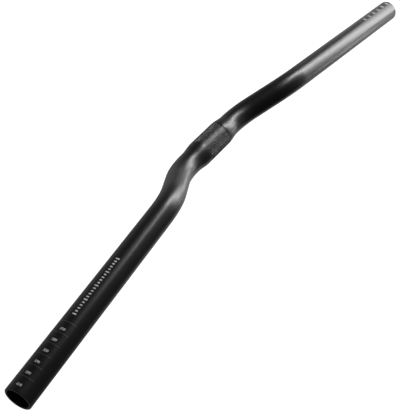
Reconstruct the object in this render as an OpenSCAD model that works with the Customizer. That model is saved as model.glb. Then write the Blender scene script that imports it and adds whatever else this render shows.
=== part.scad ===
// Riser handlebar: one butted metal tube, swaged down from the clamp section and bent four times.
// Millimetres. The origin is the middle of the clamp section, on its axis.
// +X runs along the clamp section to the rider's right, +Y points forward and +Z points up.

/* [Bar] */
// Width from end to end
bar_w = 630; // [580:5:680]
// Height of the bar ends over the clamp axis
rise = 38; // [36:1:60]
// Angle by which each grip section sweeps back, in degrees
backsweep = 5.5; // [3:0.5:9]
// Angle by which each grip section sweeps up, in degrees
upsweep = 1.7; // [0:0.1:2]

/* [Clamp section] */
// Outside diameter where the stem holds the bar
clamp_d = 25.4; // [25:0.1:32]
// Width of the section at full diameter
clamp_w = 34; // [28:1:40]
// Wall thickness under the stem
clamp_wall = 2.4; // [2:0.1:3]

/* [Ramps and grips] */
// Outside diameter of the ramps and grip sections
grip_d = 22.2; // [22:0.1:24]
// Wall thickness of the ramps and grip sections
grip_wall = 2; // [1.5:0.1:2.5]
// Chamfer on both edges of the open ends
end_chamfer = 0.4; // [0.2:0.1:0.6]

/* [Bends] */
// Distance from the middle of the bar to the corner of each lower bend
corner_x = 51; // [48:1:60]
// Angle of the ramps over the clamp axis, in degrees
ramp_a = 31.2; // [25:0.1:34]
// Centre-line radius of the lower bends
lower_r = 60; // [50:1:65]
// Centre-line radius of the upper bends
upper_r = 70; // [60:1:75]

/* [Hidden] */
$fn = 72;
bore_overrun = 1;    // how far the bore is cut past each open end
bend_draw = 0.02;    // radius that the tube loses where bending stretches it
bend_lap = 0.5;      // how far each straight section runs on into its bends
lap_bevel = 0.1;     // bevel on the end of each such lap
taper_steps = 10;    // rings in each swaged taper

// Directions of the right ramp and of the right grip section
ramp_dir = [cos(ramp_a), 0, sin(ramp_a)];
grip_lean = [1, -tan(backsweep), tan(upsweep)];
grip_dir = grip_lean / norm(grip_lean);

// Lower bend, in the plane of the clamp axis and +Z
lower_set = lower_r * tan(ramp_a / 2);
lower_start = corner_x - lower_set;

// Upper bend, in the plane of the ramp and the grip section
upper_a = acos(ramp_dir * grip_dir);
upper_set = upper_r * tan(upper_a / 2);
ramp_up = [-sin(ramp_a), 0, cos(ramp_a)];
upper_roll = atan2(-grip_dir.y, grip_dir * ramp_up);

// Lengths along the centre line, corner to corner and then between the bends
corner_to_end = bar_w / 2 - corner_x;
ramp_l = (rise - corner_to_end * tan(upsweep)) / (sin(ramp_a) - cos(ramp_a) * tan(upsweep));
ramp_straight = ramp_l - lower_set - upper_set;
grip_l = (corner_to_end - ramp_l * cos(ramp_a)) / grip_dir.x;
grip_straight = grip_l - upper_set;

// Profiles are lists of points, each a distance along the axis and a radius.
// The laps of a straight section into the bend before it and into the bend that starts at x
function lap_before(r) = [[-bend_lap, r - lap_bevel], [lap_bevel - bend_lap, r]];
function lap_after(x, r) = [[x + bend_lap - lap_bevel, r], [x + bend_lap, r - lap_bevel]];

// Half of the swaged section: an S-shaped taper that ends where the lower bend starts, and its lap
function swage(middle_r, end_r) = [
    for (i = [0:taper_steps])
        let (u = i / taper_steps)
        [clamp_w / 2 + u * (lower_start - clamp_w / 2),
         middle_r + (end_r - middle_r) * (1 - cos(180 * u)) / 2],
    each lap_after(lower_start, end_r)
];

// Turns a profile about the X axis
module turned(profile) {
    ends = [[profile[len(profile) - 1][0], 0], [profile[0][0], 0]];
    rotate([90, 0, 90])
        rotate_extrude()
            polygon([for (p = concat(profile, ends)) [p[1], p[0]]]);
}

// Middle of the bar: the clamp section and the taper on each side of it
module middle(middle_r, end_r) {
    right = swage(middle_r, end_r);
    left = [for (i = [len(right) - 1:-1:0]) [-right[i][0], right[i][1]]];
    turned(concat(left, right));
}

// Bend that starts at the origin along +X and turns towards +Y
module bend(tube_r, bend_r, angle) {
    translate([0, bend_r, 0])
        rotate(-90)
            rotate_extrude(angle = angle)
                translate([bend_r, 0])
                    circle(tube_r - bend_draw);
}

// Places its children at the end of such a bend
module past_bend(bend_r, angle) {
    translate([bend_r * sin(angle), bend_r * (1 - cos(angle)), 0])
        rotate(angle)
            children();
}

// Right arm from the lower bend to the grip section, which is turned from grip_profile
module arm(tube_r, grip_profile) {
    translate([lower_start, 0, 0])
        rotate([90, 0, 0]) {
            bend(tube_r, lower_r, ramp_a);
            past_bend(lower_r, ramp_a) {
                turned(concat(lap_before(tube_r), lap_after(ramp_straight, tube_r)));
                translate([ramp_straight, 0, 0])
                    rotate([upper_roll, 0, 0]) {
                        bend(tube_r, upper_r, upper_a);
                        past_bend(upper_r, upper_a) turned(grip_profile);
                    }
            }
        }
}

// Both arms and the middle, as one solid run from end to end
module run(middle_r, end_r, grip_profile) {
    middle(middle_r, end_r);
    arm(end_r, grip_profile);
    mirror([1, 0, 0]) arm(end_r, grip_profile);
}

// The tube: its outside, less the butted bore that is open at both ends
module handlebar() {
    outer_r = grip_d / 2;
    bore_r = outer_r - grip_wall;
    mouth_r = bore_r + end_chamfer + bore_overrun;
    outer_end = [[grip_straight - end_chamfer, outer_r], [grip_straight, outer_r - end_chamfer]];
    bore_end = [[grip_straight - end_chamfer, bore_r], [grip_straight + bore_overrun, mouth_r]];
    outer_grip = concat(lap_before(outer_r), outer_end);
    bore_grip = concat(lap_before(bore_r), bore_end);
    color([0.07, 0.07, 0.075])
        difference() {
            run(clamp_d / 2, outer_r, outer_grip);
            run(clamp_d / 2 - clamp_wall, bore_r, bore_grip);
        }
}

handlebar();
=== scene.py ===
# Riser handlebar in satin black: the bent tube, its knurled clamp band and the printed marks on its arms.
# Metres, in the part's frame: the origin is the middle of the clamp section, on its axis.
# +X runs along the clamp section to the rider's right, +Y points forward and +Z points up.
import math

import bpy
import numpy as np
from mathutils import Matrix, Vector


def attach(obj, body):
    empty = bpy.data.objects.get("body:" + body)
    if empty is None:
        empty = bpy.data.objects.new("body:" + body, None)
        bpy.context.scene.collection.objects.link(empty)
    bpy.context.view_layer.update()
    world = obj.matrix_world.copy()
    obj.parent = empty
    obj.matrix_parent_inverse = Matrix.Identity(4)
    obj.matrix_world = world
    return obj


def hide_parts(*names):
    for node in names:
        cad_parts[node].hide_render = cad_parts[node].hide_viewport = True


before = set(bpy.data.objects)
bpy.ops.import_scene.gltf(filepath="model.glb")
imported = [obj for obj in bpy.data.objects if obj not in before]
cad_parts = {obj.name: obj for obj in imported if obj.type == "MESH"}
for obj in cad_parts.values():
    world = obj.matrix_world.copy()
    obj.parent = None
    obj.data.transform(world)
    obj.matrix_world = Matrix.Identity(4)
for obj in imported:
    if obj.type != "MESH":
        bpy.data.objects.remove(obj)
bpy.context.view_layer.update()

# The bar: the same driving dimensions as the solid's
BAR_W = 0.630
RISE = 0.038
BACKSWEEP = math.radians(5.5)
UPSWEEP = math.radians(1.7)
CLAMP_D = 0.0254
CLAMP_W = 0.034
CLAMP_WALL = 0.0024
GRIP_D = 0.0222
GRIP_WALL = 0.002
END_CHAMFER = 0.0004
CORNER_X = 0.051
RAMP_A = math.radians(31.2)
LOWER_R = 0.060
UPPER_R = 0.070

# How finely the tube is drawn
AROUND = 126            # points round each ring, half as many as round the knurl's rings
TAPER_RINGS = 24
BEND_RINGS = 30
STRAIGHT_STEP = 0.008
TUBE_CREASE = math.radians(35)   # an edge with a larger angle than this is drawn sharp

# The knurl: square points between crossed grooves
KNURL_AROUND = 42       # points round the band
KNURL_ALONG = 14        # points along it
KNURL_DEPTH = 0.0005
KNURL_EDGE = 0.0004     # plain rim at each side of the band
KNURL_RIM = 0.00032     # distance from the band's side to the ring where the rim turns down
KNURL_CELL = [0.0, 0.12, 0.28, 0.5, 0.72, 0.88]   # places across one point, as shares of its pitch
KNURL_RISE = [0.0, 0.1, 0.96, 1.0, 0.96, 0.1]     # and the height there, as a share of the depth

# The printed marks: numbers and fine lines where the ends may be cut
MARKS = 6
MARK_PITCH = 0.0103
FIRST_NUMBER = 0.0056   # distance from the end to the first number
FIRST_LINE = 0.0126     # and to the first cut line
FIRST_WIDTH = 610       # what the first number says, a width of the bar in millimetres
WIDTH_STEP = 20         # and how much less each number after it says
NUMBER_ROLL = math.radians(57)
NUMBER_HEIGHT = 0.0022
NUMBER_WEIGHT = 0.045   # thickening of the strokes, for a size of 1
NUMBER_CURVE_STEPS = 3
LINE_W = 0.0003
LINE_ROLL = (math.radians(20), math.radians(125))
PRINT_PROUD = 0.00004   # height of the print over the tube
PRINT_SUNK = 0.00012    # and how far its underside lies in the tube
PRINT_STEP = math.radians(3)     # roll between two points of a printed patch
PRINT_CREASE = math.radians(40)

# The row of short ruler marks on the left arm
RULER_START = 0.0715
RULER_END = 0.1306
RULER_PITCH = 0.00295
RULER_MARK_W = 0.0012
RULER_ROLL = math.radians(58)
RULER_H = 0.0022
RULER_LONG_H = 0.0032
RULER_LONG_EVERY = 5

# The materials' noise, in features per metre
NOISE_LOW = 0.3         # the range of a noise value that is spread over a material's range
NOISE_HIGH = 0.7
CLOUD_SCALE = 45
SPECKLE_SCALE = 700
INK_SCALE = 1500
FINE_DETAIL = 2
CLOUD_DETAIL = 3
FINISH_IOR = 1.5
INK_ROUGHNESS = 0.5

# The camera, with its lens and sensor in millimetres
CAMERA_PLACE = (-0.52551, 0.22107, 0.54145)
CAMERA_VIEW = (0.62146, -0.33723, -0.70715)
CAMERA_RIGHT = (0.54069, -0.46858, 0.69863)
CAMERA_LENS = 72.8
CAMERA_SENSOR = 36
CAMERA_NEAR = 0.01
CAMERA_FAR = 50

# Light: how bright the room is all round, and the soft boxes. Each has its azimuth from +X towards +Y,
# its elevation and its tilt in degrees, its width and height in metres, and its radiance
AROUND_LIGHT = 0.06
ROOM_SHOWN = 1.0        # brightness of the room for the camera
LIGHT_DISTANCE = 0.8
SOFT_BOXES = [
    ("key_box", 15.0, 31.2, 6.2, 0.86, 0.15, 14.05),
    ("under_key_box", 12.1, 18.7, 34.6, 1.28, 0.27, 3.66),
    ("low_box", -21.0, -18.0, 24.7, 1.58, 0.97, 0.56),
    ("upper_box", 46.7, 44.7, -14.9, 0.04, 0.37, 22.86),
    ("back_box", -27.6, 18.7, 47.4, 0.29, 0.03, 17.16),
]

# The floor
FLOOR_HALF = 8.0        # half its width
FLOOR_Z = -0.35
FLOOR_PAINT = (0.25, 0.25, 0.25, 1)
FLOOR_SHOWN = 0.98      # brightness of the floor for the camera
FLOOR_MIRRORED = 0.12   # and in what mirrors it


def unit(v):
    """The direction of a vector, with length 1."""
    return v / np.linalg.norm(v)


# Directions and lengths of the right half of the centre line, worked out as the solid's are
ALONG = np.array([1.0, 0, 0])
RAMP_DIR = np.array([math.cos(RAMP_A), 0, math.sin(RAMP_A)])
GRIP_DIR = unit(np.array([1, -math.tan(BACKSWEEP), math.tan(UPSWEEP)]))
LOWER_SET = LOWER_R * math.tan(RAMP_A / 2)
LOWER_START = CORNER_X - LOWER_SET
UPPER_A = math.acos(float(RAMP_DIR @ GRIP_DIR))
UPPER_SET = UPPER_R * math.tan(UPPER_A / 2)
CORNER_TO_END = BAR_W / 2 - CORNER_X
RAMP_GAIN = math.sin(RAMP_A) - math.cos(RAMP_A) * math.tan(UPSWEEP)   # height won per length of ramp
RAMP_L = (RISE - CORNER_TO_END * math.tan(UPSWEEP)) / RAMP_GAIN
RAMP_STRAIGHT = RAMP_L - LOWER_SET - UPPER_SET
GRIP_L = (CORNER_TO_END - RAMP_L * math.cos(RAMP_A)) / GRIP_DIR[0]
GRIP_STRAIGHT = GRIP_L - UPPER_SET
END_POINT = np.array([CORNER_X, 0, 0]) + RAMP_DIR * RAMP_L + GRIP_DIR * GRIP_L
END_R = GRIP_D / 2


# A ring is a point on the centre line, the direction there and the radius.
def taper():
    """Rings of the S-shaped taper, from the side of the clamp section to the start of the lower bend."""
    rings = []
    for i in range(TAPER_RINGS + 1):
        share = i / TAPER_RINGS
        x = CLAMP_W / 2 + share * (LOWER_START - CLAMP_W / 2)
        radius = CLAMP_D / 2 + (END_R - CLAMP_D / 2) * (1 - math.cos(math.pi * share)) / 2
        rings.append((ALONG * x, ALONG, radius))
    return rings


def bend(start, direction, turn_to, radius, angle):
    """Rings round a bend that leaves start along direction and curves towards turn_to, without the first."""
    side = unit(turn_to - direction * float(turn_to @ direction))
    rings = []
    for i in range(BEND_RINGS):
        a = angle * (i + 1) / BEND_RINGS
        place = start + direction * radius * math.sin(a) + side * radius * (1 - math.cos(a))
        rings.append((place, direction * math.cos(a) + side * math.sin(a), END_R))
    return rings


def straight(start, direction, length):
    """Rings in about equal steps along a straight section, without the first."""
    count = max(1, round(length / STRAIGHT_STEP))
    return [(start + direction * (length * (i + 1) / count), direction, END_R) for i in range(count)]


def right_half():
    """Rings of the outside of the right half, from the clamp section out to the end."""
    rings = taper()
    rings += bend(rings[-1][0], ALONG, RAMP_DIR, LOWER_R, RAMP_A)
    rings += straight(rings[-1][0], RAMP_DIR, RAMP_STRAIGHT)
    rings += bend(rings[-1][0], RAMP_DIR, GRIP_DIR, UPPER_R, UPPER_A)
    rings += straight(rings[-1][0], GRIP_DIR, GRIP_STRAIGHT - END_CHAMFER)
    rings.append((END_POINT, GRIP_DIR, END_R - END_CHAMFER))
    return rings


def mirrored(rings):
    """The same rings on the other half, in reverse order, with directions that still point right."""
    flip_place = np.array([-1.0, 1, 1])
    flip_heading = np.array([1.0, -1, -1])
    return [(point * flip_place, heading * flip_heading, r) for point, heading, r in reversed(rings)]


def bore_rings(outside):
    """Rings of the bore, from the right end to the left one. It widens where the outside of the tube does."""
    bore_r = END_R - GRIP_WALL
    widening = (CLAMP_D / 2 - CLAMP_WALL - bore_r) / (CLAMP_D / 2 - END_R)
    rings = [
        (END_POINT, GRIP_DIR, bore_r + END_CHAMFER),
        (END_POINT - GRIP_DIR * END_CHAMFER, GRIP_DIR, bore_r),
    ]
    for place, heading, radius in reversed(outside[:-2]):
        rings.append((place, heading, bore_r + (radius - END_R) * widening))
    return rings + mirrored(rings)


def knurl_rings():
    """Distance from the middle and radius round the ring, for each ring of the knurled band."""
    width = CLAMP_W - 2 * KNURL_EDGE
    pitch = width / KNURL_ALONG
    rise_round = np.array(KNURL_RISE * KNURL_AROUND)
    crest = CLAMP_D / 2
    for cell in range(KNURL_ALONG):
        for share, rise in zip(KNURL_CELL, KNURL_RISE):
            x = -width / 2 + (cell + share) * pitch
            yield x, crest - KNURL_DEPTH * (1 - np.minimum(rise_round, rise))
    yield width / 2, crest - KNURL_DEPTH * (1 - np.minimum(rise_round, KNURL_RISE[0]))


def ring_points(place, heading, radius, count):
    """The points of a ring, from the top round by the front. Each may have a radius of its own."""
    up = unit(np.array([0, 0, 1.0]) - heading * heading[2])
    front = np.cross(up, heading)
    angles = 2 * math.pi * np.arange(count) / count
    radius = np.broadcast_to(radius, (count,))
    return place + radius[:, None] * (np.cos(angles)[:, None] * up + np.sin(angles)[:, None] * front)


class MeshMaker:
    """Collects points and faces for one piece. Its rings are lists of point numbers."""

    def __init__(self):
        self.points = []
        self.faces = []
        self.face_material = []

    def ring(self, points):
        """Adds points and gives their numbers."""
        first = len(self.points)
        self.points.extend(map(tuple, points))
        return list(range(first, first + len(points)))

    def face(self, corners, material=0):
        self.faces.append(corners)
        self.face_material.append(material)

    def join(self, a, b, material=0):
        """Faces between two rings. Where b has more points, each face takes several of its edges."""
        ratio = len(b) // len(a)
        for i in range(len(a)):
            j = (i + 1) % len(a)
            fine = [b[(i * ratio + k) % len(b)] for k in range(ratio + 1)]
            self.face([a[i]] + fine + [a[j]], material)

    def join_down(self, a, b, material=0):
        """Faces between a fine ring a and a coarser ring b."""
        ratio = len(a) // len(b)
        for i in range(len(b)):
            j = (i + 1) % len(b)
            fine = [a[(i * ratio + k) % len(a)] for k in range(ratio, -1, -1)]
            self.face([b[j]] + fine + [b[i]], material)

    def build(self, name, materials, crease=None):
        """Makes the piece, shaded smooth but for edges with a larger angle than crease."""
        mesh = bpy.data.meshes.new(name)
        mesh.from_pydata(self.points, [], self.faces)
        mesh.validate()
        for material in materials:
            mesh.materials.append(material)
        mesh.polygons.foreach_set("material_index", self.face_material)
        mesh.polygons.foreach_set("use_smooth", [True] * len(mesh.polygons))
        if crease is not None:
            mesh.set_sharp_from_angle(angle=crease)
        piece = bpy.data.objects.new(name, mesh)
        bpy.context.scene.collection.objects.link(piece)
        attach(piece, "root")
        return piece


def bar_tube(satin, knurled):
    """The whole tube as one closed skin: outside, end lips and bore."""
    maker = MeshMaker()
    half = right_half()
    left = [maker.ring(ring_points(*ring, AROUND)) for ring in mirrored(half)]
    for a, b in zip(left, left[1:]):
        maker.join(a, b)

    # the knurled band, which has the second material
    band = 1
    fine = KNURL_AROUND * len(KNURL_CELL)
    rim_x = CLAMP_W / 2 - KNURL_RIM
    last = maker.ring(ring_points(ALONG * -rim_x, ALONG, CLAMP_D / 2, fine))
    maker.join(left[-1], last)
    for x, radii in [*knurl_rings(), (rim_x, CLAMP_D / 2)]:
        ring = maker.ring(ring_points(ALONG * x, ALONG, radii, fine))
        maker.join(last, ring, band)
        last = ring

    right = [maker.ring(ring_points(*ring, AROUND)) for ring in half]
    maker.join_down(last, right[0])
    for a, b in zip(right, right[1:]):
        maker.join(a, b)
    last = right[-1]
    for bore_ring in bore_rings(half):
        ring = maker.ring(ring_points(*bore_ring, AROUND))
        maker.join(last, ring)
        last = ring
    maker.join(last, left[0])
    piece = maker.build("handlebar_tube", [satin, knurled], TUBE_CREASE)
    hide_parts("handlebar")


class Arm:
    """The straight grip section on the right (side 1) or on the left (side -1)."""

    def __init__(self, side):
        self.side = side
        self.end = END_POINT * np.array([side, 1, 1])
        self.out = GRIP_DIR * np.array([side, 1, 1])
        self.up = unit(np.array([0, 0, 1.0]) - self.out * self.out[2])
        self.front = unit(np.array([0, 1.0, 0]) - self.out * self.out[1] - self.up * self.up[1])

    def at(self, inwards, roll, height):
        """The point inwards from the end, at a roll from up to forward and a height over the tube."""
        spoke = self.up * math.cos(roll) + self.front * math.sin(roll)
        return self.end - self.out * inwards + spoke * (END_R + height)


def patch(maker, arm, start, width, roll_low, roll_high):
    """A thin curved slab of print on an arm, closed on all sides."""
    count = max(2, round((roll_high - roll_low) / PRINT_STEP))
    if arm.side < 0:
        roll_low, roll_high = roll_high, roll_low   # so that its faces look outwards on the left arm too
    sections = []
    for i in range(count + 1):
        roll = roll_low + (roll_high - roll_low) * i / count
        corners = [
            arm.at(start, roll, -PRINT_SUNK),
            arm.at(start + width, roll, -PRINT_SUNK),
            arm.at(start + width, roll, PRINT_PROUD),
            arm.at(start, roll, PRINT_PROUD),
        ]
        sections.append(maker.ring(corners))
    for a, b in zip(sections, sections[1:]):
        for k in range(4):
            m = (k + 1) % 4
            maker.face([a[k], a[m], b[m], b[k]])
    maker.face(sections[0][::-1])
    maker.face(sections[-1])


def number_mesh(text):
    """A number as a closed slab, centred on the origin, as points and faces. Its front has z over 0."""
    curve = bpy.data.curves.new("number_outline", "FONT")
    curve.body = text
    curve.size = 1.0
    curve.resolution_u = NUMBER_CURVE_STEPS
    curve.extrude = 0.5
    curve.offset = NUMBER_WEIGHT
    holder = bpy.data.objects.new("number_outline", curve)
    bpy.context.scene.collection.objects.link(holder)
    bpy.context.view_layer.update()
    mesh = bpy.data.meshes.new_from_object(holder.evaluated_get(bpy.context.evaluated_depsgraph_get()))
    points = np.array([v.co for v in mesh.vertices])
    faces = [list(p.vertices) for p in mesh.polygons]
    bpy.data.objects.remove(holder)
    bpy.data.curves.remove(curve)
    bpy.data.meshes.remove(mesh)
    low, high = points.min(0), points.max(0)
    points[:, :2] -= (low[:2] + high[:2]) / 2
    points[:, :2] *= NUMBER_HEIGHT / (high[1] - low[1])
    return points, faces


def cut_numbers(side, name, paint):
    """The six numbers of one arm, each read with its foot towards the end of the bar."""
    maker = MeshMaker()
    arm = Arm(side)
    for i in range(MARKS):
        points, faces = number_mesh(str(FIRST_WIDTH - WIDTH_STEP * i))
        middle = FIRST_NUMBER + i * MARK_PITCH
        places = []
        for x, y, z in points:
            height = PRINT_PROUD if z > 0 else -PRINT_SUNK
            places.append(arm.at(middle + y, NUMBER_ROLL + x / END_R * side, height))
        numbers = maker.ring(places)
        for face in faces:
            maker.face([numbers[corner] for corner in face])
    maker.build(name, [paint])


def cut_lines(side, name, paint):
    """The six fine lines of one arm, one inwards of each number."""
    maker = MeshMaker()
    arm = Arm(side)
    for i in range(MARKS):
        start = FIRST_LINE + i * MARK_PITCH - LINE_W / 2
        patch(maker, arm, start, LINE_W, *LINE_ROLL)
    maker.build(name, [paint], PRINT_CREASE)


def ruler(side, name, paint):
    """The plain row of short marks on one arm, with a longer one at an even spacing."""
    maker = MeshMaker()
    arm = Arm(side)
    count = int((RULER_END - RULER_START) / RULER_PITCH) + 1
    for i in range(count):
        height = RULER_H if i % RULER_LONG_EVERY else RULER_LONG_H
        half = height / 2 / END_R
        start = RULER_START + i * RULER_PITCH
        patch(maker, arm, start, RULER_MARK_W, RULER_ROLL - half, RULER_ROLL + half)
    maker.build(name, [paint], PRINT_CREASE)


def new_material(name):
    """A material with its nodes, its links and its Principled shader."""
    material = bpy.data.materials.new(name)
    material.use_nodes = True
    nodes = material.node_tree.nodes
    return material, nodes, material.node_tree.links, nodes["Principled BSDF"]


def noise(nodes, links, scale, detail):
    """Noise that is fixed to the piece."""
    place = nodes.new("ShaderNodeTexCoord")
    texture = nodes.new("ShaderNodeTexNoise")
    texture.inputs["Scale"].default_value = scale
    texture.inputs["Detail"].default_value = detail
    links.new(place.outputs["Object"], texture.inputs["Vector"])
    return texture.outputs["Fac"]


def spread(nodes, links, value, low, high):
    """Maps a noise value's middle range onto low to high."""
    node = nodes.new("ShaderNodeMapRange")
    node.inputs["From Min"].default_value = NOISE_LOW
    node.inputs["From Max"].default_value = NOISE_HIGH
    node.inputs["To Min"].default_value = low
    node.inputs["To Max"].default_value = high
    links.new(value, node.inputs["Value"])
    return node.outputs["Result"]


def mixed_colour(nodes, links, value, dark, pale):
    """Maps a noise value's middle range onto the colours from dark to pale."""
    ramp = nodes.new("ShaderNodeValToRGB")
    for element, position, colour in zip(ramp.color_ramp.elements, (NOISE_LOW, NOISE_HIGH), (dark, pale)):
        element.position = position
        element.color = (*colour, 1)
    links.new(value, ramp.inputs["Fac"])
    return ramp.outputs["Color"]


def satin_black(name, dark, pale, roughness, grain, depth):
    """Black satin finish over metal: soft gloss, slight clouding and a fine grain of that scale and depth."""
    material, nodes, links, shader = new_material(name)
    clouds = noise(nodes, links, CLOUD_SCALE, CLOUD_DETAIL)
    links.new(mixed_colour(nodes, links, clouds, dark, pale), shader.inputs["Base Color"])
    speckle = noise(nodes, links, SPECKLE_SCALE, FINE_DETAIL)
    links.new(spread(nodes, links, speckle, *roughness), shader.inputs["Roughness"])
    bump = nodes.new("ShaderNodeBump")
    bump.inputs["Strength"].default_value = 1.0
    bump.inputs["Distance"].default_value = depth
    links.new(noise(nodes, links, grain, FINE_DETAIL), bump.inputs["Height"])
    links.new(bump.outputs["Normal"], shader.inputs["Normal"])
    shader.inputs["IOR"].default_value = FINISH_IOR
    return material


def print_paint(name, dark, pale):
    """Printed ink, thin enough to look a little uneven."""
    material, nodes, links, shader = new_material(name)
    uneven = noise(nodes, links, INK_SCALE, FINE_DETAIL)
    links.new(mixed_colour(nodes, links, uneven, dark, pale), shader.inputs["Base Color"])
    shader.inputs["Roughness"].default_value = INK_ROUGHNESS
    return material


def place_camera():
    """The photograph's view, from over the left end and a little forward."""
    data = bpy.data.cameras.new("camera")
    data.lens = CAMERA_LENS
    data.sensor_width = CAMERA_SENSOR
    data.clip_start = CAMERA_NEAR
    data.clip_end = CAMERA_FAR
    camera = bpy.data.objects.new("camera", data)
    bpy.context.scene.collection.objects.link(camera)
    view = Vector(CAMERA_VIEW).normalized()
    right = Vector(CAMERA_RIGHT)
    right = (right - view * right.dot(view)).normalized()
    turn = Matrix((right, right.cross(view), -view)).transposed()
    camera.matrix_world = Matrix.Translation(CAMERA_PLACE) @ turn.to_4x4()
    bpy.context.scene.camera = camera


def soft_box(name, azimuth, elevation, tilt, width, height, radiance):
    """A soft box that faces the clamp section."""
    data = bpy.data.lights.new(name, "AREA")
    data.shape = "RECTANGLE"
    data.size = width
    data.size_y = height
    data.energy = radiance * math.pi * width * height
    light = bpy.data.objects.new(name, data)
    bpy.context.scene.collection.objects.link(light)
    a, e = math.radians(azimuth), math.radians(elevation)
    away = Vector((math.cos(a) * math.cos(e), math.sin(a) * math.cos(e), math.sin(e)))
    across = Vector((0, 0, 1)).cross(away).normalized()
    facing = Matrix((across, away.cross(across), away)).transposed()
    turn = facing @ Matrix.Rotation(math.radians(tilt), 3, "Z")
    light.matrix_world = Matrix.Translation(away * LIGHT_DISTANCE) @ turn.to_4x4()
    light.visible_camera = False


def by_ray(nodes, links, plain, in_mirrors, shown):
    """A strength: shown to the camera, in_mirrors to glossy and transmission rays, plain to all others."""
    path = nodes.new("ShaderNodeLightPath")
    either = nodes.new("ShaderNodeMath")
    either.operation = "MAXIMUM"
    links.new(path.outputs["Is Glossy Ray"], either.inputs[0])
    links.new(path.outputs["Is Transmission Ray"], either.inputs[1])
    unseen = nodes.new("ShaderNodeMix")
    unseen.inputs["A"].default_value = plain
    unseen.inputs["B"].default_value = in_mirrors
    links.new(either.outputs["Value"], unseen.inputs["Factor"])
    seen = nodes.new("ShaderNodeMix")
    seen.inputs["B"].default_value = shown
    links.new(unseen.outputs["Result"], seen.inputs["A"])
    links.new(path.outputs["Is Camera Ray"], seen.inputs["Factor"])
    return seen.outputs["Result"]


def light_scene():
    """The room, which is dim for all but the camera, and the soft boxes."""
    world = bpy.data.worlds.new("studio")
    bpy.context.scene.world = world
    world.use_nodes = True
    nodes, links = world.node_tree.nodes, world.node_tree.links
    background = nodes["Background"]
    strength = by_ray(nodes, links, AROUND_LIGHT, AROUND_LIGHT, ROOM_SHOWN)
    links.new(strength, background.inputs["Strength"])
    background.inputs["Color"].default_value = (1, 1, 1, 1)
    for box in SOFT_BOXES:
        soft_box(*box)


def pale_floor():
    """A white floor well below the bar, which is held by its clamp section."""
    mesh = bpy.data.meshes.new("floor")
    corners = [(x * FLOOR_HALF, y * FLOOR_HALF, FLOOR_Z) for x, y in ((-1, -1), (1, -1), (1, 1), (-1, 1))]
    mesh.from_pydata(corners, [], [(0, 1, 2, 3)])
    floor = bpy.data.objects.new("floor", mesh)
    bpy.context.scene.collection.objects.link(floor)
    material, nodes, links, shader = new_material("floor_white")
    nodes.remove(shader)
    paint = nodes.new("ShaderNodeBsdfDiffuse")
    paint.inputs["Color"].default_value = FLOOR_PAINT
    glow = nodes.new("ShaderNodeEmission")
    strength = by_ray(nodes, links, 0.0, FLOOR_MIRRORED, FLOOR_SHOWN)
    links.new(strength, glow.inputs["Strength"])
    both = nodes.new("ShaderNodeAddShader")
    links.new(paint.outputs["BSDF"], both.inputs[0])
    links.new(glow.outputs["Emission"], both.inputs[1])
    links.new(both.outputs["Shader"], nodes["Material Output"].inputs["Surface"])
    mesh.materials.append(material)


satin = satin_black(
    "satin_black",
    dark=(0.005, 0.005, 0.0052),
    pale=(0.008, 0.008, 0.0083),
    roughness=(0.33, 0.35),
    grain=2600,
    depth=0.0000006,
)
knurled = satin_black(
    "knurled_black",
    dark=(0.01, 0.01, 0.0105),
    pale=(0.02, 0.02, 0.0205),
    roughness=(0.25, 0.31),
    grain=3200,
    depth=0.00001,
)
number_ink = print_paint("number_ink", dark=(0.6, 0.6, 0.61), pale=(0.76, 0.76, 0.77))
line_ink = print_paint("line_ink", dark=(0.09, 0.09, 0.092), pale=(0.15, 0.15, 0.152))
ruler_ink = print_paint("ruler_ink", dark=(0.82, 0.82, 0.82), pale=(0.93, 0.93, 0.93))
bar_tube(satin, knurled)
for side, label in ((1, "right"), (-1, "left")):
    cut_numbers(side, "cut_numbers_" + label, number_ink)
    cut_lines(side, "cut_lines_" + label, line_ink)
ruler(-1, "ruler_left", ruler_ink)
place_camera()
light_scene()
pale_floor()
bpy.context.scene.view_settings.view_transform = "Standard"
